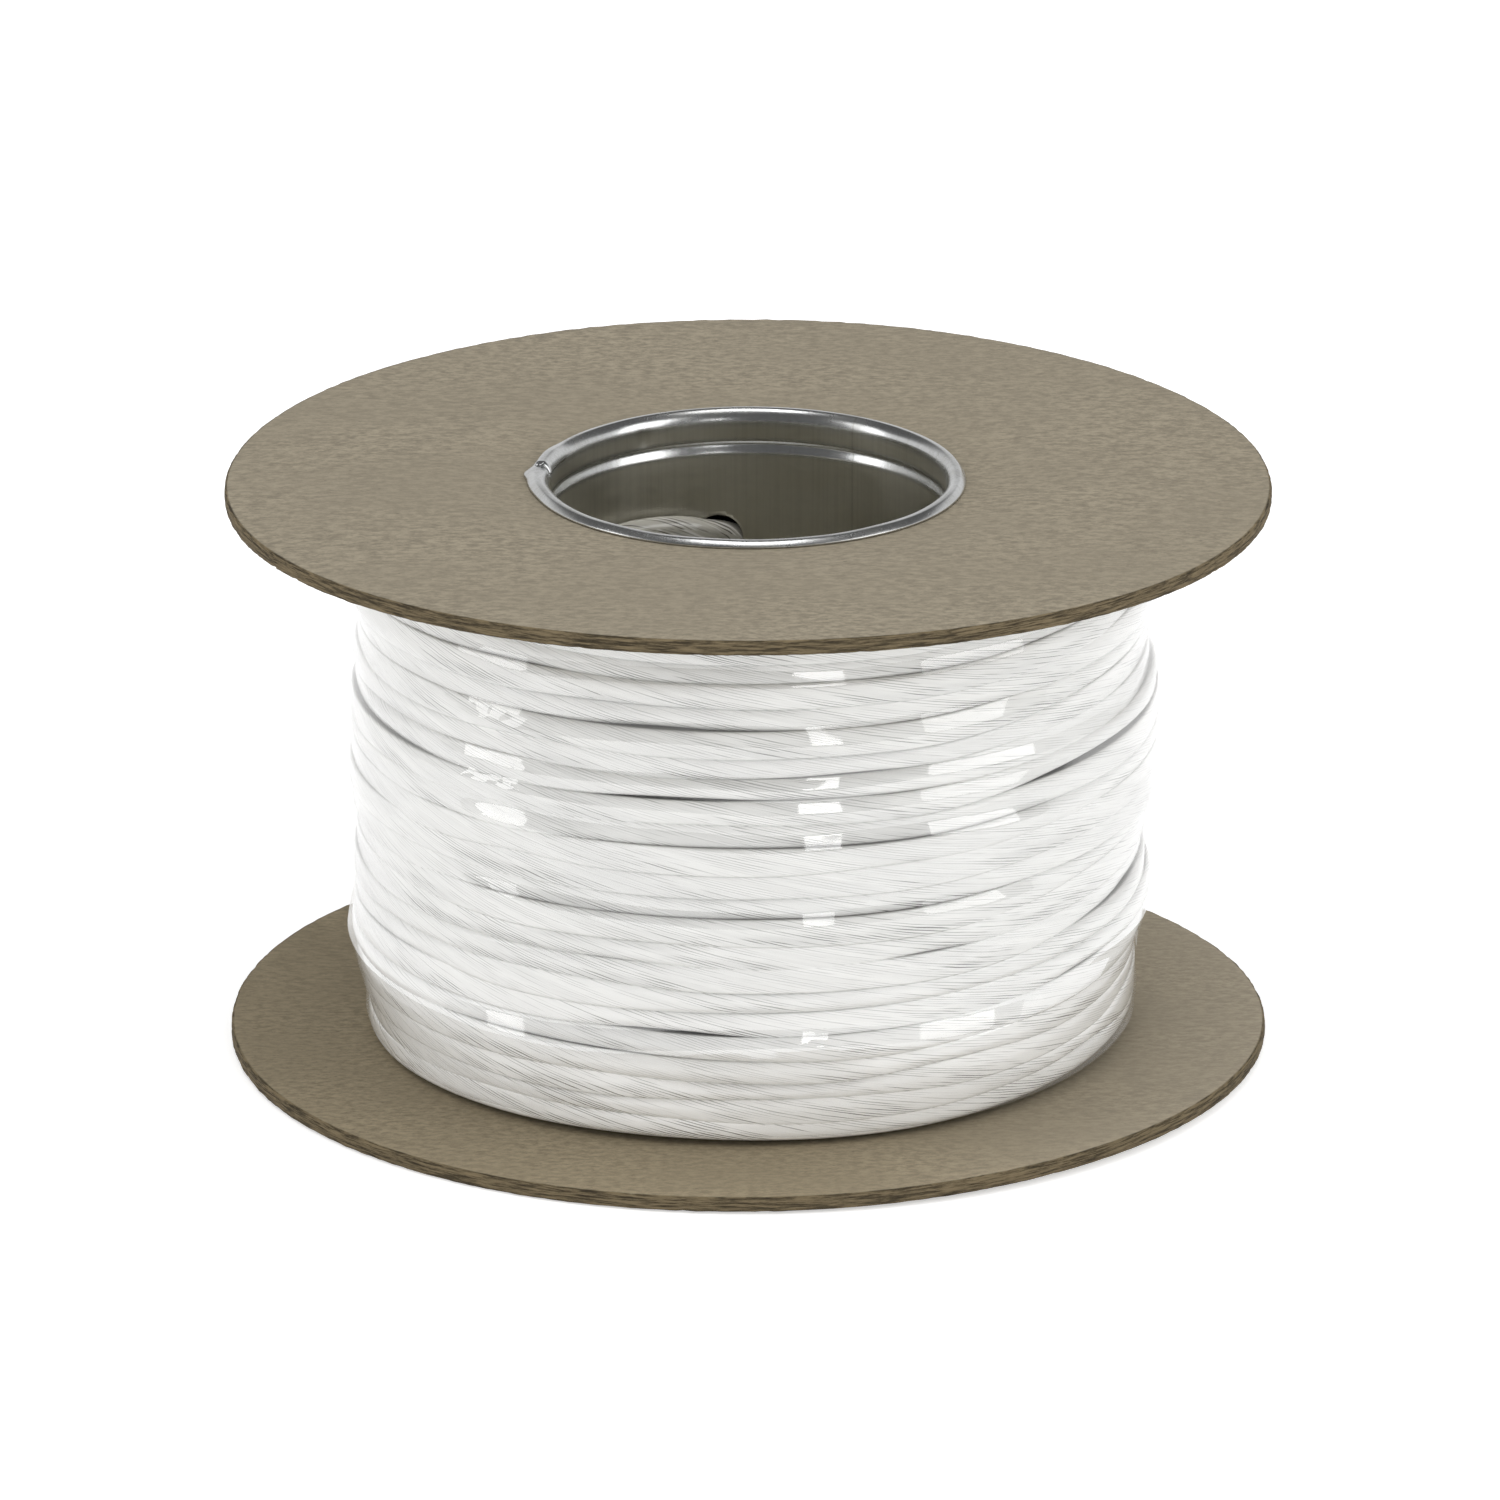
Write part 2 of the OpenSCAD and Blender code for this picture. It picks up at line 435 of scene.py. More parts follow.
@dataclass(frozen=True)
class CableFinish:
    """Fine tinned strands seen through clear glossy insulation, with painted light on the lowest
    turns and painted shade where turns meet.

    U of the UV map is the length along the cable and V the way around it from its outermost line,
    in metres.

    Attributes:
        name: The material's name.
        strand: Colour of the strands.
        shade: Colour of the lines between them.
        lay: Slope of the strands against the cable.
        spacing: Distance from one line to the next.
        everywhere: Strength of the lines where they are faint.
        patchy: Strength that patches add to it.
        cover: Distance from the outermost line at which the neighbours cover the cable, and painted
            shade begins.
    """

    name: str
    strand: Colour
    shade: Colour
    lay: float
    spacing: float
    everywhere: float
    patchy: float
    cover: float

    # How far around, below the outermost line, patches and painted shade peak, and how far lines sway
    UNDERSIDE = 1.4 * MM
    SWAY = 14.0

    def build(self) -> bpy.types.Material:
        """Returns the material."""
        graph = Graph(self.name)
        place = graph.place("UV")
        along, around = place.axis("X"), place.axis("Y")
        across = around + along * self.lay

        def streaks(fine: float, long: float, seed: float, detail: float) -> Sock:
            """Returns noise drawn out along the strands."""
            inputs = {"X": along * long, "Y": across * fine, "Z": seed}
            return graph.noise(graph.node("ShaderNodeCombineXYZ", {}, inputs), detail, 0.6)

        sway = streaks(350.0, 45.0, 0.5, 2.0) * self.SWAY
        wires = graph.math("SINE", across * (math.tau / self.spacing) + sway)
        broken = streaks(1500.0, 90.0, 5.5, 1.0)
        bundles = streaks(600.0, 22.0, 3.1, 2.0)
        patches = streaks(170.0, 17.0, 7.7, 1.0)
        under = 1.0 - abs(around + self.UNDERSIDE).between(0.3 * MM, 1.6 * MM)
        # Painted shade on the faces that the neighbouring turns cover, which show only in gaps; no
        # coat there
        covered_shade = abs(around).between(self.cover, self.cover + 0.8 * MM)
        height = graph.place().axis("Z")

        often = patches.between(0.42, 0.60) * (0.35 + 0.65 * under) * self.patchy + self.everywhere
        lowest = 1.0 - height.between(9 * MM, 16 * MM)
        often = often + patches.between(0.40, 0.55) * lowest * 0.25
        lines = wires.between(0.25, 0.95) * broken.between(0.40, 0.60) * often
        gleam = (0.0 - wires).between(0.4, 1.0) * broken.between(0.45, 0.6)

        grey = bundles.between(0.35, 0.65) * 0.45
        # Painted shade on each turn's underside, in patches
        dark = patches.between(0.45, 0.65) * under * 0.45
        # Painted light: the lowest turns whitened, fading out between 12 and 42 mm up
        low_painted_light = (1.0 - height.between(12 * MM, 42 * MM)) * 0.9
        tone = graph.blend(grey, self.strand, shade(self.strand, 0.80))
        tone = graph.blend(dark, tone, shade(self.strand, 0.68))
        tone = graph.blend(low_painted_light, tone, (1.0, 1.0, 0.985))
        tone = graph.blend(lines, tone, self.shade)
        tone = graph.blend(gleam * 0.45, tone, (0.98, 0.98, 0.97))
        tone = graph.blend(covered_shade * 0.85, tone, shade(self.shade, 0.8))
        return graph.surface(
            Base_Color=tone,
            Metallic=0.0,
            Roughness=0.35,
            Coat_Weight=1.0 - covered_shade,
            Coat_Roughness=0.12,
            Normal=graph.bump(bundles - wires * 0.12, 0.3, 0.12 * MM),
        )


@dataclass(frozen=True)
class FilmFinish:
    """Clear stretch film: a faint mirror, stronger at a glancing view, hazy where it is layered.

    Attributes:
        name: The material's name.
        mirror: Share of light that it mirrors when seen square on.
        haze: Share that its haziest places add.
    """

    name: str
    mirror: float
    haze: float

    def build(self) -> bpy.types.Material:
        """Returns the material."""
        graph = Graph(self.name)
        facing = graph.node("ShaderNodeLayerWeight", {}, {"Blend": 0.5}, out="Facing")
        veil = graph.grain((18.0, 18.0, 85.0), 1.0, turn=(0.10, 0.08, 0.0)).between(0.46, 0.58)
        return graph.surface(
            Base_Color=(0.96, 0.96, 0.96),
            Metallic=1.0 - veil * 0.45,
            Roughness=0.045,
            Alpha=self.mirror + veil * self.haze + facing * facing * facing * 0.5,
        )


# ------------------------------------------------------------------------------------ mesh helpers


def finish_mesh(bm: bmesh.types.BMesh, name: str, material: bpy.types.Material) -> bpy.types.Object:
    """Turns a bmesh into a smooth-shaded object at the origin, with its normals worked out.

    Args:
        bm: The mesh, which is freed.
        name: The piece's name.
        material: Its material.

    Returns:
        The object, linked to the scene.
    """
    bmesh.ops.recalc_face_normals(bm, faces=bm.faces[:])
    for face in bm.faces:
        face.smooth = True
    mesh = bpy.data.meshes.new(name)
    bm.to_mesh(mesh)
    bm.free()
    mesh.materials.append(material)
    made = bpy.data.objects.new(name, mesh)
    bpy.context.scene.collection.objects.link(made)
    return made


def revolve(profile: Sequence[Point], steps: int, closed: bool) -> bmesh.types.BMesh:
    """Spins a profile of (radius, height) points a full turn about the reel's axis.

    Args:
        profile: The points, in order.
        steps: Steps in the turn.
        closed: Whether the last point joins the first.

    Returns:
        The mesh.
    """
    bm = bmesh.new()
    verts = [bm.verts.new((radius, 0.0, height)) for radius, height in profile]
    pairs = list(zip(verts, verts[1:])) + ([(verts[-1], verts[0])] if closed else [])
    edges = [bm.edges.new(pair) for pair in pairs]
    bmesh.ops.spin(
        bm, geom=verts + edges, cent=(0, 0, 0), axis=(0, 0, 1), angle=math.tau, steps=steps,
        use_merge=True,
    )
    bmesh.ops.remove_doubles(bm, verts=bm.verts[:], dist=1e-7)
    return bm


def lengths_along(path: Sequence[Vector]) -> list[float]:
    """Measures a path.

    Args:
        path: Its points.

    Returns:
        The length up to each point.
    """
    lengths = [0.0]
    for before, after in zip(path, path[1:]):
        lengths.append(lengths[-1] + (after - before).length)
    return lengths


def sweep(path: Sequence[Vector], section: Callable[[int, float], Point],
          sides: int) -> bmesh.types.BMesh:
    """Draws a tube along a path.

    One ring is spun straight on into a row of rings, and each is then set on its point. The UV map
    gives metres along the path, and metres around the section from its outermost line, negative
    below it.

    Args:
        path: Points on the centre line.
        section: Gives the outward and upward reach at a ring's number and an angle.
        sides: Sides of the section, an even number.

    Returns:
        The mesh, with capped ends.
    """
    bm = bmesh.new()
    uv = bm.loops.layers.uv.new("UVMap")
    ring = bmesh.ops.create_circle(bm, cap_ends=True, segments=sides, radius=1.0)["verts"]
    edges = list({edge for vert in ring for edge in vert.link_edges})
    last = bmesh.ops.spin(
        bm, geom=ring + edges, cent=(0, 0, 0), axis=(0, 0, 1), dvec=(0, 0, 1), angle=0.0,
        steps=len(path) - 1, use_merge=False,
    )["geom_last"]
    end = [item for item in last if isinstance(item, bmesh.types.BMEdge)]
    bmesh.ops.contextual_create(bm, geom=end)
    # Each vertex's ring and its number in the ring
    spots = {
        vert: (round(vert.co.z), round(math.atan2(vert.co.y, vert.co.x) * sides / math.tau) % sides)
        for vert in bm.verts
    }
    # Each section begins on its inner side, so its outermost line is half way round
    angles = [math.pi + math.tau * k / sides for k in range(sides)]
    corners = [[section(index, angle) for angle in angles] for index in range(len(path))]
    outermost = sides // 2
    sidewise, upwise, around = [], [], []
    for index, row in enumerate(corners):
        heading = path[min(index + 1, len(path) - 1)] - path[max(index - 1, 0)]
        heading.normalize()
        sidewise.append(heading.cross(Vector((0, 0, 1))).normalized())
        upwise.append(sidewise[-1].cross(heading))
        lengths = [0.0]
        for first, second in zip(row, row[1:] + row[:1]):
            lengths.append(lengths[-1] + math.dist(first, second))
        around.append([length - lengths[outermost] for length in lengths])
    for vert, (index, k) in spots.items():
        out, rise = corners[index][k]
        vert.co = path[index] + out * sidewise[index] + rise * upwise[index]
    run = lengths_along(path)
    for face in bm.faces:
        numbers = {spots[loop.vert][1] for loop in face.loops}
        wraps = 0 in numbers and sides - 1 in numbers
        for loop in face.loops:
            index, k = spots[loop.vert]
            loop[uv].uv = (run[index], around[index][sides if wraps and k == 0 else k])
    return bm


def dress(piece: bpy.types.Object, slot: Slot, node: str) -> bpy.types.Object:
    """Makes a piece ride on the reel, and hides the CAD node that it stands for.

    Args:
        piece: The finished piece.
        slot: Its material slot; not used.
        node: The CAD node that it replaces.

    Returns:
        The piece.
    """
    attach(piece, BODY)
    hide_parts(node)
    return piece


# -------------------------------------------------------------------------------- the reel's sizes


@dataclass(frozen=True)
class ReelSizes:
    """Sizes that the pieces share.

    Attributes:
        flange_r: Radius of the boards.
        face_lo: Outer face of the lower board.
        face_hi: Outer face of the upper board.
        height: Height over both rims.
        board_t: Thickness of the boards.
        dish: How far the clamped hub draws a board in.
        dish_r: Radius inside which it does.
        bore_r: Radius of the bore.
        sheet_t: Thickness of the sheet metal.
        curl_w: Width of the curled rim.
        curl_depth: How far down the curled rim reaches.
        bead_r: Radius of the bead's groove.
        bead_depth: How far below the rim the bead lies.
        cable_d: Diameter of the cable.
        loops: Loops of the outer layer.
        film_gap: Room between the outer loops and the film.
        fit: Room between the winding and the boards.
    """

    flange_r: float
    face_lo: float
    face_hi: float
    height: float
    board_t: float = 3 * MM
    dish: float = 1.0 * MM
    dish_r: float = 60 * MM
    bore_r: float = 38 * MM
    sheet_t: float = 0.45 * MM
    curl_w: float = 3.6 * MM
    curl_depth: float = 2.0 * MM
    bead_r: float = 1.1 * MM
    bead_depth: float = 6.55 * MM
    cable_d: float = 4.2 * MM
    loops: int = 22
    film_gap: float = 0.35 * MM
    fit: float = 0.1 * MM

    # Height and radius of the film in millimetres: it runs straight from one prominent turn to the
    # next, in other places on the left, on the right and in front
    LEFT = (
        (3.6, 74.0), (7, 73.9), (11.2, 73.8), (18, 76.0), (23, 77.3), (29.3, 76.4), (34, 75.9),
        (37.8, 76.5), (41.4, 76.0), (45, 75.6), (48.5, 76.1), (52, 76.8), (56.5, 77.7), (62, 76.3),
        (68, 77.4), (75.7, 75.6), (80.5, 76.0), (83.8, 75.2), (88, 75.4), (93, 76.8), (98, 75.8),
        (104, 76.8), (109.6, 75.6),
    )
    RIGHT = (
        (3.6, 73.6), (7, 74.6), (11.2, 75.2), (18, 74.9), (23, 75.3), (29.3, 77.6), (34, 78.2),
        (37.8, 77.7), (41.4, 75.8), (45, 76.7), (48.5, 77.1), (52, 78.6), (56.5, 79.0), (62, 79.4),
        (68, 79.6), (75.7, 79.0), (80.5, 77.2), (83.8, 76.8), (88, 77.8), (93, 78.4), (98, 77.4),
        (104, 78.0), (109.6, 77.0),
    )
    FRONT = (
        (3.6, 74.6), (9, 75.0), (16, 76.4), (23.6, 77.9), (27.4, 76.5), (33, 77.2), (42, 77.2),
        (48.8, 77.6), (51.8, 76.5), (57, 77.1), (64.0, 77.9), (67.4, 76.7), (71.0, 77.5),
        (73.8, 76.5), (75.6, 77.2), (78.4, 76.2), (84.6, 77.6), (88.9, 76.1), (96.8, 77.4),
        (100.2, 76.2), (105, 76.8), (109.6, 75.6),
    )

    @classmethod
    def from_frame(cls) -> "ReelSizes":
        """Returns the sizes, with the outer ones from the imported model."""
        _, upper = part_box("upper_flange")
        lower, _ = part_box("lower_flange")
        _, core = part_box("core_tube")
        return cls(upper.x, lower.z, upper.z, core.z)

    @property
    def middle(self) -> float:
        """Height of the reel's middle."""
        return 0.5 * self.height

    @property
    def wind_lo(self) -> float:
        """Lowest point of the winding."""
        return self.face_lo + self.board_t

    @property
    def wind_hi(self) -> float:
        """Highest point of the winding."""
        return self.face_hi - self.board_t

    @property
    def pitch(self) -> float:
        """Distance from one loop to the next."""
        return (self.wind_hi - self.wind_lo - 2 * self.fit - self.cable_d) / self.loops

    def hull(self, azimuth: float, height: float) -> float:
        """Gives the film's radius at a place.

        Args:
            azimuth: Azimuth in radians.
            height: Height on the reel.

        Returns:
            The radius.
        """
        facing = min(1.0, 1.5 * math.sin(azimuth) ** 2)
        level = height / MM + 2.0 * facing * ring_ripple(azimuth, 1.7, 25 * height)

        def at(table: Sequence[Point]) -> float:
            """Reads a table at the level.

            Args:
                table: Heights and radii in millimetres.

            Returns:
                The radius in millimetres.
            """
            row = sum(level >= z for z, _ in table[1:-1])
            (low, first), (high, second) = table[row:row + 2]
            return first + (second - first) * min(1.0, max(0.0, (level - low) / (high - low)))

        left, right, front = at(self.LEFT), at(self.RIGHT), at(self.FRONT)
        side = left + (right - left) * (0.5 + 0.5 * math.cos(azimuth))
        return (side + (front - side) * facing) * MM


# ---------------------------------------------------------------------------------- sub-assemblies


@dataclass
class Flange:
    """A punched board disc, drawn in at the hub, with a fibrous edge and a slight warp.

    Attributes:
        sizes: The reel's sizes.
        upper: Whether it is the upper one.
        warp: Lift at the rim towards the back, and along X and the diagonal as saddle shapes, in
            millimetres.
        finish: The board's material.
        rounding: Width of the rounding at its edge.
        frayed: Width of the frayed edge.
        steps: Steps around.
    """

    sizes: ReelSizes
    upper: bool
    warp: tuple[float, float, float]
    finish: bpy.types.Material
    rounding: float = 0.8 * MM
    frayed: float = 1.2 * MM
    steps: int = 512

    def profile(self) -> list[Point]:
        """Returns the closed half section, with the outer face at height 0 and the board below."""
        s = self.sizes
        hole = s.bore_r + s.sheet_t + s.fit
        seat = s.bore_r + s.curl_w + 1 * MM
        flat = s.flange_r - self.rounding
        radii = [hole, 0.5 * (hole + seat), seat]
        radii += [seat + (s.dish_r - seat) * share / 5 for share in range(1, 6)]
        radii += [s.dish_r + (flat - s.dish_r) * share / 12 for share in range(1, 13)]

        def dip(radius: float) -> float:
            """Returns how far the board is drawn in at a radius."""
            return s.dish * (1 - smooth((radius - seat) / (s.dish_r - seat)))

        top = [(radius, -dip(radius)) for radius in radii]
        bottom = [(radius, -dip(radius) - s.board_t) for radius in reversed(radii)]
        bow = 0.5 * s.board_t
        edge = []
        for share in range(1, 8):
            angle = math.pi * share / 8
            reach = self.rounding * abs(math.sin(angle)) ** 0.45
            edge.append((flat + reach, -bow + bow * math.cos(angle)))
        return top + edge + bottom

    def place(self, point: Vector) -> Vector:
        """Moves a point of the plain disc to its place on the reel, with fray and warp.

        Args:
            point: The point, at its height in the half section.

        Returns:
            Its place.
        """
        s = self.sizes
        azimuth = math.atan2(point.y, point.x)
        radius = math.hypot(point.x, point.y)
        at_edge = smooth((radius - s.flange_r + self.frayed) / (1.0 * MM))
        depth = point.z / s.board_t
        seed = 3.0 if self.upper else 11.0
        fine = ripple(90 * azimuth, 5 * depth, seed) * 0.10 * MM
        coarse = ripple(26 * azimuth, 2 * depth, seed + 5) * 0.14 * MM
        nick = max(0.0, ripple(60 * azimuth, 1.5 * depth, seed + 9) - 0.42) * 1.1 * MM
        radius += at_edge * (fine + coarse - nick - 0.04 * MM)
        wave = ring_ripple(azimuth, 2.2, seed) * 0.12 * MM
        share = max(0.0, (radius - s.dish_r) / (s.flange_r - s.dish_r))
        tilt, saddle, twist = (MM * part for part in self.warp)
        lift = tilt * math.sin(azimuth) + saddle * math.cos(2 * azimuth)
        lift += twist * math.sin(2 * azimuth)
        lift = lift if self.upper or lift > 0 else 0.5 * lift
        height = point.z + at_edge * ripple(40 * azimuth, depth, seed + 2) * 0.12 * MM
        height = s.face_hi + height if self.upper else s.face_lo - height
        return spot(azimuth, min(radius, s.flange_r), height + share * share * (lift + wave))

    def build(self) -> bpy.types.Object:
        """Returns the finished board."""
        node = "upper_flange" if self.upper else "lower_flange"
        bm = revolve(self.profile(), self.steps, closed=True)
        for vert in bm.verts:
            vert.co = self.place(vert.co)
        board = finish_mesh(bm, node.replace("flange", "board"), self.finish)
        return dress(board, Slot.BOARD, node)


@dataclass
class Core:
    """The rolled sheet-metal tube: beads under the boards, curled rims and a lapped seam.

    Attributes:
        sizes: The reel's sizes.
        finish: The metal's material.
        lap_azimuth: Where the sheet's front edge lies, in degrees.
        lap: How far the back edge runs over it, in degrees.
        hole_r: Radius of the start hole.
        hole_azimuth: Direction of the hole, in degrees.
        hole_depth: How far below the upper board's outer face the hole's centre is.
        crest_r: Radius of a rim's crest.
        rise: Height of a rim's upper part, which is stretched.
        bead_span: Half width of a bead.
        steps: Steps along the sheet.
    """

    sizes: ReelSizes
    finish: bpy.types.Material
    lap_azimuth: float = 173.6
    lap: float = 10.4
    hole_r: float = 5 * MM
    hole_azimuth: float = 99.0
    hole_depth: float = 24.7 * MM
    crest_r: float = 39.8 * MM
    rise: float = 1.45 * MM
    bead_span: float = 1.55 * MM
    steps: int = 324

    # Arcs from the crest: radius in millimetres, slope at the end in degrees, steps
    INWARD = ((1.2, 33, 3), (4.6, 43, 3), (2.9, 90, 7))
    OUTWARD = ((18.0, 2, 1), (1.0, 33, 3), (5.6, 44, 3), (0.25, 90, 3))

    # Stretch of the upper rim's upper part at the back and in front, and what the lower rim's is
    # divided by
    BACK, FRONT, LOWER = 1.6, 0.83, 1.9

    # A dent under the upper rim: azimuth in radians, depth below the rim, radius and height
    DENT = (math.radians(122), 3.4 * MM, 1.4 * MM, 0.25 * MM)

    @property
    def hole_z(self) -> float:
        """Height of the hole's centre."""
        return self.sizes.face_hi - self.hole_depth

    @staticmethod
    def bend(arcs: Sequence[tuple[float, float, int]], width: float) -> list[Point]:
        """Follows a rim from its crest.

        Args:
            arcs: Radius, slope at the end and steps of each arc.
            width: How far it runs sideways in all.

        Returns:
            How far each point is sideways and down from the crest.
        """
        points, slope, aside, down = [], 0.0, 0.0, 0.0
        for radius, last, steps in arcs:
            turn = (math.radians(last) - slope) / steps
            for _ in range(steps):
                aside += radius * (math.sin(slope + turn) - math.sin(slope))
                down += radius * (math.cos(slope) - math.cos(slope + turn))
                slope += turn
                points.append((aside, down * MM))
        return [(part * width / aside, down) for part, down in points]

    def half_profile(self) -> list[Point]:
        """Returns the sheet's bore side from the middle of the reel to the upper curl's end."""
        s = self.sizes
        bead_z = s.height - s.bead_depth
        # What is stretched later is made lower by as much, so that arcs keep their shape
        inward = [
            (aside, down / self.BACK if down < self.BACK * self.rise
             else down - (self.BACK - 1) * self.rise)
            for aside, down in self.bend(self.INWARD, self.crest_r - s.bore_r)
        ]
        outward = [
            (aside, down / self.FRONT)
            for aside, down in self.bend(self.OUTWARD, s.bore_r + s.curl_w - self.crest_r)
        ]
        under, over = bead_z - self.bead_span, bead_z + self.bead_span
        flare = s.height - inward[-1][1]
        points = [(s.bore_r, s.middle + (under - s.middle) * share / 16) for share in range(17)]
        for share in range(1, 16):
            # A long ramp outward and a short step back
            depth = 0.55 * s.bead_r * smooth(share / 11) * smooth((13.2 - share) / 1.6)
            points.append((s.bore_r + depth, bead_z + self.bead_span * (share / 8 - 1)))
        shares = (0.0, 0.05, 0.2, 0.6, 1.0)
        points += [(s.bore_r, over + (flare - over) * share) for share in shares]
        points += [(self.crest_r - aside, s.height - down) for aside, down in reversed(inward[:-1])]
        points.append((self.crest_r, s.height))
        points += [(self.crest_r + aside, s.height - down) for aside, down in outward]
        return points + [(s.bore_r + s.curl_w, s.height - self.rise)]

    def build(self) -> bpy.types.Object:
        """Returns the finished core."""
        s = self.sizes
        half = self.half_profile()
        profile = [(radius, s.height - height) for radius, height in reversed(half[1:])] + half
        bm = bmesh.new()
        start = math.radians(self.lap_azimuth - self.lap)
        verts = [bm.verts.new(spot(start, radius, height)) for radius, height in profile]
        edges = [bm.edges.new(pair) for pair in zip(verts, verts[1:])]
        turn = math.tau + math.radians(self.lap)
        # The sheet starts under the lap, runs once around and ends over its own start
        bmesh.ops.spin(
            bm, geom=verts + edges, cent=(0, 0, 0), axis=(0, 0, 1), angle=turn, steps=self.steps,
            use_merge=False,
        )
        bm.verts.ensure_lookup_table()
        for index, vert in enumerate(bm.verts):
            share = index // len(profile) / self.steps
            vert.co = self.shape(vert.co, share * turn, turn)
        self.cut_hole(bm)
        core = finish_mesh(bm, "core", self.finish)
        wall = core.modifiers.new("sheet", "SOLIDIFY")
        wall.thickness = s.sheet_t
        wall.offset = self.solidify_side(core)
        return dress(core, Slot.METAL, "core_tube")

    def solidify_side(self, core: bpy.types.Object) -> float:
        """Finds out which way the sheet's faces look.

        Args:
            core: The core, as a sheet without thickness.

        Returns:
            The Solidify offset that grows the wall away from the bore.
        """
        wall = next(
            face for face in core.data.polygons if abs(face.center.z - self.sizes.middle) < 5 * MM
        )
        return -1.0 if wall.normal.to_2d().dot(wall.center.to_2d()) < 0 else 1.0

    def shape(self, point: Vector, angle: float, turn: float) -> Vector:
        """Moves a point for the rims' shape and the lap, where the sheet's end is over its start.

        Args:
            point: A point of the plain tube.
            angle: How far along the sheet it is, in radians.
            turn: The whole sheet, in radians.

        Returns:
            Its place.
        """
        s = self.sizes
        azimuth = math.atan2(point.y, point.x)
        radius = math.hypot(point.x, point.y)
        upper = point.z > s.middle
        local = point.z if upper else s.height - point.z
        base = s.height - self.rise
        lap, ease = math.radians(self.lap), math.radians(12)
        over = smooth((angle - turn + lap + ease) / ease)
        under = 1 - smooth((angle - lap - 0.3 * ease) / (1.8 * ease))
        wobble = ring_ripple(azimuth, 3.1, 4.0 if upper else 8.0)
        # The sheet's last ring is turned down onto its start
        end = max(0.0, 1 - (turn - angle) * self.steps / turn) * s.sheet_t
        if local > base:
            mean, swing = 0.5 * (self.BACK + self.FRONT), 0.5 * (self.BACK - self.FRONT)
            share = mean + swing * math.sin(azimuth) + 0.08 * wobble + 0.32 * over - 0.07 * under
            local = base + (local - base) * (share if upper else share / self.LOWER) - end
        if radius > self.crest_r:
            corner = math.exp(-((angle - lap - 0.02) / 0.05) ** 2)
            radius += (radius - self.crest_r) * (0.22 * over + 0.40 * under + 0.45 * corner) - end
        elif local > base:
            radius += 0.35 * MM * under - 0.15 * MM * over + end
        else:
            radius += 0.03 * MM * ring_ripple(azimuth, 2, 30 * local)
            radius += 0.5 * s.sheet_t * under
        at, depth, wide, high = self.DENT
        away = ((azimuth - at) * s.bore_r) ** 2 + (local - s.height + depth) ** 2
        radius += high * math.exp(-away / wide ** 2)
        return spot(azimuth, radius, local if upper else s.height - local)

    def cut_hole(self, bm: bmesh.types.BMesh) -> None:
        """Cuts the start hole: the nearest ring of vertices moves to its edge.

        Args:
            bm: The sheet, before it has a thickness.
        """
        s = self.sizes
        centre = math.radians(self.hole_azimuth)
        wall = s.bore_r + 0.2 * MM

        def flat(point: Vector) -> Vector:
            """Returns a wall point as seen square on the hole."""
            azimuth = math.atan2(point.y, point.x)
            return Vector(((azimuth - centre) * s.bore_r, point.z - self.hole_z))

        def near(face: bmesh.types.BMFace) -> bool:
            """Tells whether a face of the wall is near the hole."""
            middle = face.calc_center_median()
            return max(map(abs, flat(middle))) < 3 * self.hole_r and middle.to_2d().length < wall

        # In a fixed order, so that every run gives the same mesh
        bm.edges.index_update()
        around = {edge for face in bm.faces if near(face) for edge in face.edges}
        edges = sorted(around, key=lambda edge: edge.index)
        bmesh.ops.subdivide_edges(bm, edges=edges, cuts=3, use_grid_fill=True)
        zone = [face for face in bm.faces if flat(face.calc_center_median()).length < self.hole_r]
        bmesh.ops.delete(bm, geom=zone, context="FACES")
        for vert in bm.verts:
            offset = flat(vert.co)
            on_rim = vert.is_boundary and abs(offset.length - self.hole_r) < 1.5 * MM
            if on_rim and vert.co.to_2d().length < wall:
                offset *= self.hole_r / offset.length
                azimuth = centre + offset.x / s.bore_r
                vert.co = spot(azimuth, vert.co.to_2d().length, self.hole_z + offset.y)


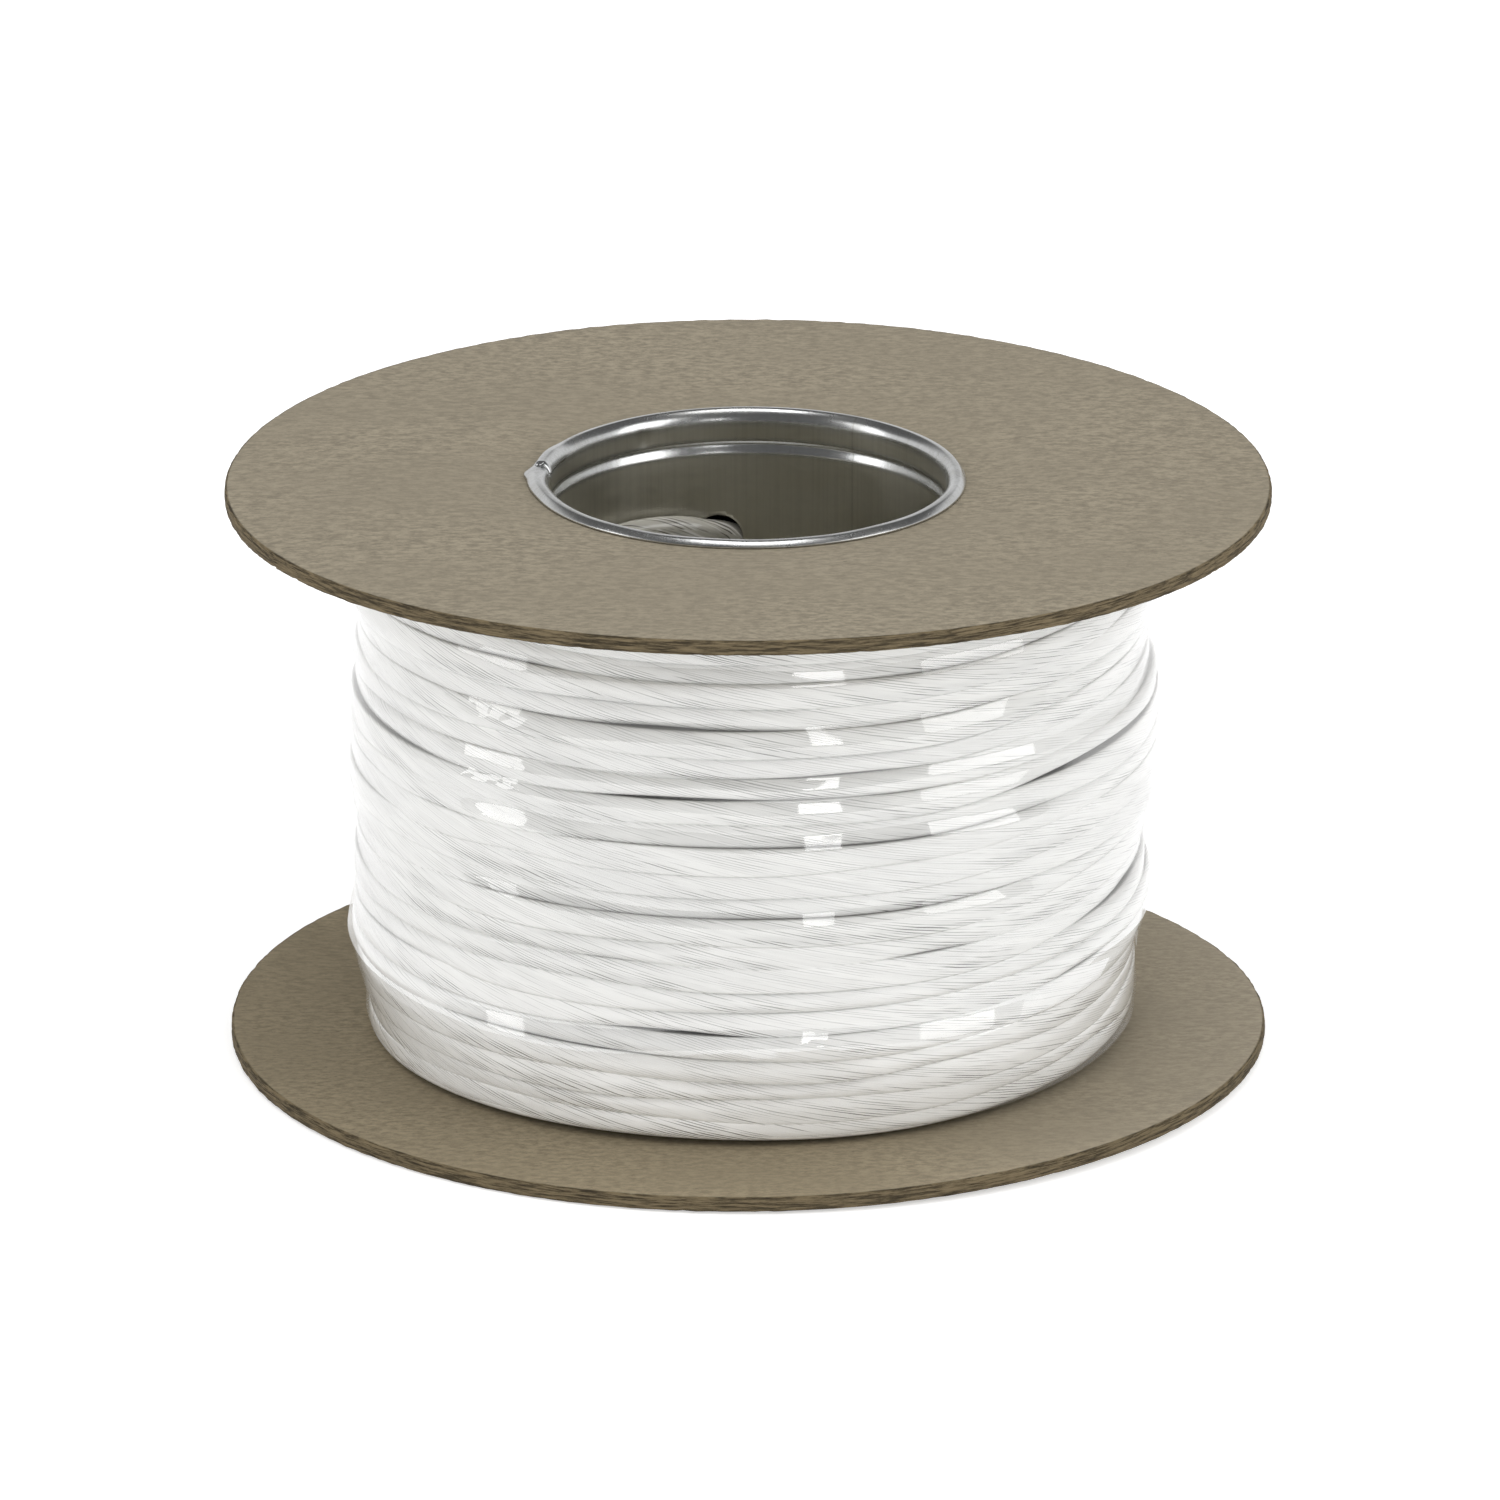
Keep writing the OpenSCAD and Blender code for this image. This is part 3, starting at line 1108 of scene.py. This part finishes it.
@dataclass
class Winding:
    """The wound cable: an outer layer of turns over the layers beneath.

    Attributes:
        sizes: The reel's sizes.
        finish: The cable's material.
        shaded_finish: A darker copy of its material for the layers beneath: painted shade, as little
            light reaches them.
        beneath: How far the inner layer lies beneath the outer one.
        step_azimuth: Where a loop begins, in degrees.
        step_share: Share of a loop in which it steps over to the next.
        wander: How far loops stray up and down.
        stray: How far loops stray in and out.
        tuck: How far the outer layer's two ends turn in under it.
        lift: How far the lowest loop stands off the board at the front.
    """

    sizes: ReelSizes
    finish: bpy.types.Material
    shaded_finish: bpy.types.Material
    beneath: float = 3.9 * MM
    step_azimuth: float = 4.0
    step_share: float = 0.20
    wander: float = 0.60 * MM
    stray: float = 0.22 * MM
    tuck: float = 5 * MM
    lift: float = 1.4 * MM

    # Where loops stand apart: azimuth and height of the gap, its half width in degrees, and its
    # share of a loop
    GAPS = (
        (-102.5, 85.5, 7, 0.55), (-99.6, 74.1, 15, 0.95), (-96.7, 66.2, 16, 0.8),
        (-86.7, 11.4, 20, 0.9), (-33, 70.9, 26, 1.0), (-37, 48.8, 18, 0.7),
        (-110.6, 38.7, 7, 0.6), (-101, 27.2, 13, 0.6), (-36, 29.7, 14, 0.7),
        (-26, 9.5, 11, 0.8), (-72, 78.0, 10, 0.4), (-68, 60.0, 12, 0.5),
        (-64, 40.5, 10, 0.4), (-84, 52.0, 9, 0.35), (-60, 18.0, 14, 0.5), (-125, 58.0, 9, 0.4),
    )

    def azimuth(self, turns: float) -> float:
        """Returns the azimuth in radians after a number of turns."""
        return math.radians(self.step_azimuth) + math.tau * turns

    def loop_height(self, turns: float) -> float:
        """Gives the height of the cable: it runs level and then steps up by one pitch.

        Args:
            turns: Turns from the start of the layer.

        Returns:
            The height of its centre line.
        """
        s = self.sizes
        whole = math.floor(turns)
        step = smooth((turns - whole - (1 - self.step_share)) / self.step_share)
        return s.wind_lo + s.fit + 0.5 * s.cable_d + s.pitch * (whole + step)

    def centre_line(self, turns: float, drop: float) -> Vector:
        """Gives a point on the cable's centre line.

        Args:
            turns: Turns from the start of the layer.
            drop: How far the layer lies beneath the outer one.

        Returns:
            The point.
        """
        s = self.sizes
        azimuth = self.azimuth(turns)
        height = self.loop_height(turns)
        ends = min(turns, s.loops - turns)
        bulges = ring_ripple(azimuth, 1.6, 22 * height)
        bulges += 0.7 * ring_ripple(azimuth, 1.6, 150 * height, 9)
        height += smooth(ends / 1.5) * self.wander * bulges
        height += self.lift * (1 - smooth(turns / 3.5)) * max(0.0, -math.sin(azimuth))
        stray = self.stray * ring_ripple(azimuth, 1.6, 190 * height, 4)
        tuck = 0.0 if drop else self.tuck * (1 - smooth(ends / 0.05))
        room = min(s.hull(azimuth, height + rise * MM) for rise in (-1.7, 0.0, 1.7))
        radius = room - s.film_gap - 0.5 * s.cable_d - drop - tuck + stray
        return spot(azimuth, radius, height)

    def gap(self, turns: float) -> float:
        """Gives how far the cable's lower side draws back, as a share of its half height.

        Args:
            turns: Turns from the start of the layer.

        Returns:
            The share, from 0 to 0.66.
        """
        azimuth = self.azimuth(turns)
        below = (self.loop_height(turns) - 0.5 * self.sizes.pitch) / MM
        opening = 0.0
        for at, height, width, share in self.GAPS:
            turn = (math.degrees(azimuth) - at + 180) % 360 - 180
            opening += share * math.exp(-(turn / width) ** 2 - ((below - height) / 1.9) ** 2)
        behind = smooth(1.6 * math.sin(azimuth) - 0.3)
        opening += behind * smooth((ring_ripple(azimuth, 1.4, 0.11 * below) - 0.25) / 0.2) * 0.8
        return 0.66 * min(1.0, opening)

    def pressed(self, turns: float) -> float:
        """Returns how flush a loop is pressed against its neighbours, from 0 to 1."""
        return smooth(0.70 + 1.5 * ring_ripple(self.azimuth(turns), 1.2, 0.8 * turns, 6))

    def layer(self, name: str, node: str, finish: bpy.types.Material, rings: int, sides: int,
              drop: float = 0.0) -> bpy.types.Object:
        """Builds one layer of turns.

        Args:
            name: The piece's name.
            node: The CAD node that it replaces.
            finish: The layer's material.
            rings: Rings in a loop.
            sides: Sides of the cable's section.
            drop: How far the layer lies beneath the outer one.

        Returns:
            The piece.
        """
        s = self.sizes
        places = [index / rings for index in range(s.loops * rings + 1)]
        path = [self.centre_line(turns, drop) for turns in places]
        gaps = [0.0 if drop else self.gap(turns) for turns in places]
        pressed = [
            self.pressed(turns) * (1 - min(1.0, 2.5 * gap)) for turns, gap in zip(places, gaps)
        ]
        reach = 0.5 * s.cable_d

        def section(index: int, angle: float) -> Point:
            """Gives a section that its neighbours press nearly square, drawn back at a gap.

            Args:
                index: Number of the ring.
                angle: Angle around the section, in radians from the outermost line.

            Returns:
                The outward and the upward reach.
            """
            cosine, sine = math.cos(angle), math.sin(angle)
            below = sine < 0
            # Nothing presses the first loop from below
            loose = below * (1 - smooth((places[index] - 1.0) / 0.3))
            power = 2 / (2.7 + 7.0 * pressed[index] ** 2 * (1 - loose) - 0.6 * loose)
            half = 0.5 * s.pitch + (0.10 + 0.50 * pressed[index] * (1 - loose)) * MM
            rise = half * abs(sine) ** power
            return (
                reach * math.copysign(abs(cosine) ** power, cosine),
                -rise * (1 - gaps[index]) if below else rise,
            )

        return dress(finish_mesh(sweep(path, section, sides), name, finish), Slot.CABLE, node)

    def build(self) -> list[bpy.types.Object]:
        """Returns the layers of the winding."""
        outer = self.layer("outer_turns", "outer_winding", self.finish, rings=108, sides=16)
        inner = self.layer(
            "inner_turns", "inner_winding", self.shaded_finish, rings=60, sides=10, drop=self.beneath
        )
        return [outer, inner]


@dataclass
class CableStart:
    """The cable's inner end, which comes through the hole in the core and lies along the bore.

    Attributes:
        core: The core, whose hole it comes through.
        finish: The cable's material.
        strands: Ridges that the outer strands make around it.
        lay: Length in which they turn once around it.
        sides: Sides of its section.
    """

    core: Core
    finish: bpy.types.Material
    strands: int = 12
    lay: float = 37 * MM
    sides: int = 76

    # Degrees past the hole, distance in from the bore wall and height above the hole's centre, in
    # millimetres
    ROUTE = (
        (-34, -2.7, -2.4), (-28, -2.7, -2.4), (-22, -2.7, -2.4), (-17, -2.7, -2.2),
        (-13, -2.7, -1.9), (-10, -2.7, -1.1), (-7, -2.65, -0.4), (-4.4, -2, 0.5),
        (-2.2, -1.1, 1.2), (0, 0, 1.8), (2.2, 0.9, 2.3), (4.4, 1.8, 2.75), (7, 2.35, 3.3),
        (10, 2.5, 3.8), (14, 2.5, 4.2), (20, 2.4, 4.5), (28, 2.4, 4.8), (36, 2.4, 4.8),
        (44, 2.4, 4.6), (52, 2.4, 4.2), (60, 2.4, 3.6), (68, 2.4, 2.9), (76, 2.4, 2.1),
        (84, 2.4, 1.2),
    )

    def route(self) -> list[Vector]:
        """Returns the centre line: the route's points and three more in each of its stretches."""
        core = self.core
        points = [
            spot(math.radians(core.hole_azimuth + turn), core.sizes.bore_r - inset * MM,
                 core.hole_z + rise * MM)
            for turn, inset, rise in self.ROUTE
        ]
        padded = [points[0], *points, points[-1]]
        path = [
            self.curve(*padded[index:index + 4], share)
            for index in range(len(points) - 1) for share in (0.0, 0.25, 0.5, 0.75)
        ]
        return path + [points[-1]]

    def build(self) -> bpy.types.Object:
        """Returns the finished cable end."""
        path = self.route()
        run = lengths_along(path)
        reach = 0.5 * self.core.sizes.cable_d

        def section(index: int, angle: float) -> Point:
            """Gives a section with the strands' ridges, which turn as the cable runs.

            Args:
                index: Number of the ring.
                angle: Angle around the section, in radians.

            Returns:
                The outward and the upward reach.
            """
            twist = self.strands * (angle + math.tau * run[index] / self.lay)
            radius = reach * (0.985 + 0.015 * math.cos(twist))
            return radius * math.cos(angle), radius * math.sin(angle)

        piece = finish_mesh(sweep(path, section, self.sides), "cable_end", self.finish)
        dress(piece, Slot.CABLE, "cable_start")
        tuple(path[0])
        [tuple(p) for p in path]
        return piece

    @staticmethod
    def curve(before: Vector, start: Vector, end: Vector, after: Vector, share: float) -> Vector:
        """Gives a point on the smooth curve through start and end.

        Args:
            before: The point before start.
            start: Start of the stretch.
            end: End of the stretch.
            after: The point after end.
            share: Share of the stretch.

        Returns:
            The point.
        """
        square, cube = share * share, share ** 3
        return 0.5 * (
            2 * start + (end - before) * share
            + (2 * before - 5 * start + 4 * end - after) * square
            + (3 * start - before - 3 * end + after) * cube
        )


@dataclass
class Film:
    """Clear stretch film around the winding.

    Attributes:
        sizes: The reel's sizes.
        finish: The film's material.
        raised: How far its lower edge is above the winding's.
        plain_r: Radius of the plain sleeve that it is drawn from.
        steps: Steps around.
        rows: Rows of faces over the height.
    """

    sizes: ReelSizes
    finish: bpy.types.Material
    raised: float = 1.3 * MM
    plain_r: float = 77 * MM
    steps: int = 360
    rows: int = 240

    # Azimuth and height of crumpled places, and their half width in degrees and half height in
    # millimetres
    CRUMPLED = (
        (-128, 86, 8, 6.0), (-129, 73, 9, 4.0), (-128, 37.5, 8, 2.5), (-128, 51, 6, 3.0),
        (-150, 86, 8, 5.0), (-146, 33, 9, 5.0), (-127, 64, 7, 3.0), (-78, 25.5, 5, 2.5),
        (-20, 90, 8, 5.0),
    )

    def radius(self, azimuth: float, height: float) -> float:
        """Gives the film's radius with its creases, rounded in at its upper and lower edge.

        Args:
            azimuth: Azimuth in radians.
            height: Height on the reel.

        Returns:
            The radius.
        """
        s = self.sizes
        turn, level = math.degrees(azimuth), height / MM
        crumple = sum(
            math.exp(-(((turn - at) / wide) ** 2) - ((level - middle) / tall) ** 2)
            for at, middle, wide, tall in self.CRUMPLED
        )
        soft = 0.28 * ring_ripple(azimuth, 5, 110 * height)
        sharp = 0.55 * abs(ring_ripple(azimuth, 22, 420 * height + 6 * azimuth)) * crumple
        reach = 0.5 * s.cable_d + s.film_gap
        inset = max(0.0, reach - min(height - s.wind_lo - self.raised, s.wind_hi - height))
        rounding = reach - math.sqrt(max(0.0, reach * reach - inset * inset))
        return s.hull(azimuth, height) + (soft + sharp) * MM - rounding

    def build(self) -> bpy.types.Object:
        """Returns the finished film."""
        s = self.sizes
        low, high = s.wind_lo + self.raised, s.wind_hi - s.fit
        heights = [low + (high - low) * row / self.rows for row in range(self.rows + 1)]
        bm = revolve([(self.plain_r, height) for height in heights], self.steps, closed=False)
        for vert in bm.verts:
            azimuth = math.atan2(vert.co.y, vert.co.x)
            vert.co = spot(azimuth, self.radius(azimuth, vert.co.z), vert.co.z)
        return dress(finish_mesh(bm, "film", self.finish), Slot.FILM, "film_wrap")


# -------------------------------------------------------------------------------------- the studio


@dataclass
class Studio:
    """A white floor, soft lamps and the camera.

    Attributes:
        aside: How far the camera stands to the right.
        distance: Distance of the camera in front of the reel's axis.
        height: Height of the camera.
        pitch: How far it looks down, in degrees.
        focal: Focal length in pixels of the frame.
        frame_width: Width of the frame in pixels.
        sensor: Width of the sensor in millimetres.
        target: Height on the axis that the lamps face.
        fill: Strength of the world as light.
        ceiling: Strength of the ceiling where it is mirrored.
        front: Strength of the wall behind the camera where it is mirrored.
        glow: Strength of the floor's own light where it is seen or mirrored.
    """

    aside: float = 0.35 * MM
    distance: float = 2.442
    height: float = 0.8936
    pitch: float = 18.90
    focal: float = 13426.0
    frame_width: float = 1500.0
    sensor: float = 36.0
    target: float = 60 * MM
    fill: float = 0.80
    ceiling: float = 0.14
    front: float = 0.16
    glow: float = 0.48

    # Kinds of ray that see the white surroundings instead of their light
    SEEN = ("Camera", "Transmission", "Glossy")

    # Name, azimuth, elevation, distance, size, power and whether glossy pieces mirror the lamp
    LAMPS = (
        ("top_box", 0.0, 84.0, 1.7, (1.0, 0.5), 6.0, True),
        ("right_box", 65.0, 26.0, 1.5, (0.80, 0.95), 5.5, True),
        ("left_box", -75.0, 23.0, 1.5, (0.52, 0.95), 3.4, True),
        ("front_box", 20.0, 17.0, 1.9, (0.32, 0.25), 0.9, True),
        ("fill_box", 0.0, 24.0, 2.2, (1.7, 0.7), 3.1, False),
        ("low_box", -14.0, 2.0, 1.9, (2.6, 0.3), 5.2, False),
    )

    def camera(self) -> None:
        """Makes the camera."""
        data = bpy.data.cameras.new("camera")
        data.sensor_width = self.sensor
        data.lens = self.focal * self.sensor / self.frame_width
        data.clip_start, data.clip_end = 0.05, 60.0
        camera = bpy.data.objects.new("camera", data)
        camera.location = (self.aside, -self.distance, self.height)
        camera.rotation_euler = (math.radians(90 - self.pitch), 0.0, 0.0)
        bpy.context.scene.collection.objects.link(camera)
        bpy.context.scene.camera = camera

    def lamp(self, name: str, azimuth: float, elevation: float, reach: float, size: Point,
             power: float, mirrored: bool) -> None:
        """Adds a softbox that faces the reel.

        Args:
            name: Its name.
            azimuth: Its direction in degrees, where 0 is the camera's side and 90 the right.
            elevation: Its elevation in degrees.
            reach: Its distance.
            size: Its width and height.
            power: Its power in watts.
            mirrored: Whether glossy pieces mirror it.
        """
        data = bpy.data.lights.new(name, "AREA")
        data.shape = "RECTANGLE"
        data.size, data.size_y = size
        data.energy = power
        lamp = bpy.data.objects.new(name, data)
        lamp.visible_glossy = mirrored
        target = Vector((0.0, 0.0, self.target))
        up = math.radians(elevation)
        offset = spot(math.radians(azimuth - 90), reach * math.cos(up), reach * math.sin(up))
        lamp.location = target + offset
        lamp.rotation_euler = (-offset).to_track_quat("-Z", "Y").to_euler()
        bpy.context.scene.collection.objects.link(lamp)

    def world(self) -> None:
        """Makes the world: white walls, a grey ceiling and a grey front where it is seen."""
        graph = Graph("world", world=True)
        place = graph.place("Generated")
        ceiling = place.axis("Z").between(0.32, 0.55, 1.0, self.ceiling)
        front = place.axis("Y").between(-0.45, 0.1, self.front, 1.0)
        walls = graph.math("MINIMUM", ceiling, front)
        strength = graph.node(
            "ShaderNodeMix", {"data_type": "FLOAT"},
            {"Factor": graph.rays(*self.SEEN), "A": self.fill, "B": walls},
        )
        shader = graph.node("ShaderNodeBackground", {}, {"Strength": strength})
        bpy.context.scene.world = graph.close(shader)

    def floor(self) -> None:
        """Makes the floor, which looks white and keeps the reel's shadow."""
        bm = bmesh.new()
        bmesh.ops.create_grid(bm, x_segments=1, y_segments=1, size=12.0)
        graph = Graph("floor_white")
        diffuse = graph.node("ShaderNodeBsdfDiffuse", {}, {"Color": (0.86, 0.86, 0.86)})
        strength = graph.rays(*self.SEEN) * self.glow
        light = graph.node("ShaderNodeEmission", {}, {"Color": WHITE, "Strength": strength})
        both = graph.node("ShaderNodeAddShader", {}, {0: diffuse, 1: light})
        finish_mesh(bm, "floor", graph.close(both))

    def build(self) -> None:
        """Makes the world, the floor and the lamps."""
        self.world()
        self.floor()
        for row in self.LAMPS:
            self.lamp(*row)


def main() -> None:
    """Builds the reel and the studio, and reports each piece."""
    logging.basicConfig(level=logging.INFO, format="%(relativeCreated)6d ms %(name)s: %(message)s")
    bpy.context.scene.view_settings.view_transform = "Standard"
    sizes = ReelSizes.from_frame()
    studio = Studio()
    studio.camera()

    cable = CableFinish(
        "clear_cable", strand=linear(236, 236, 233), shade=linear(66, 64, 58), lay=0.24,
        spacing=0.50 * MM, everywhere=0.30, patchy=0.72, cover=2.5 * MM,
    ).build()
    # A darker copy of the cable's finish: painted shade for the layer beneath, which shows only in
    # the gaps
    shaded_finish = CableFinish(
        "cable_beneath_painted_shade", strand=linear(118, 116, 110), shade=linear(40, 38, 34), lay=0.24,
        spacing=0.50 * MM, everywhere=0.4, patchy=0.4, cover=2.5 * MM,
    ).build()
    # The end in the bore, without the film's haze: stronger strand lines, and a darker colour that is
    # painted shade for the bore
    bare_shaded = CableFinish(
        "cable_in_bore", strand=linear(176, 173, 163), shade=linear(30, 28, 24), lay=0.36,
        spacing=1.0 * MM, everywhere=0.9, patchy=0.1, cover=20 * MM,
    ).build()
    tin = TinFinish(
        "tinned_sheet", dull=linear(197, 194, 181), bright=linear(208, 209, 209),
        middle=sizes.middle, curl=sizes.middle - sizes.curl_depth,
        bead=sizes.middle - sizes.bead_depth,
    ).build()
    edge = linear(97, 86, 66)
    upper = BoardFinish("upper_board_face", linear(148, 139, 121), edge, sizes.flange_r).build()
    lower = BoardFinish(
        "lower_board_face", linear(150, 138, 114), edge, sizes.flange_r, painted_side_light=0.08
    ).build()
    film = FilmFinish("stretch_film", mirror=0.075, haze=0.13).build()

    core = Core(sizes, tin)
    pieces = [
        CableStart(core, bare_shaded).build(),
        core.build(),
        Flange(sizes, upper=True, warp=(0.35, -0.65, -0.04), finish=upper).build(),
        Flange(sizes, upper=False, warp=(0.1, 0.25, -0.80), finish=lower).build(),
        *Winding(sizes, cable, shaded_finish).build(),
        Film(sizes, film).build(),
    ]
    for piece in pieces:
        log.info("%s: %d faces", piece.name, len(piece.data.polygons))
    studio.build()


if __name__ == "__main__":
    main()
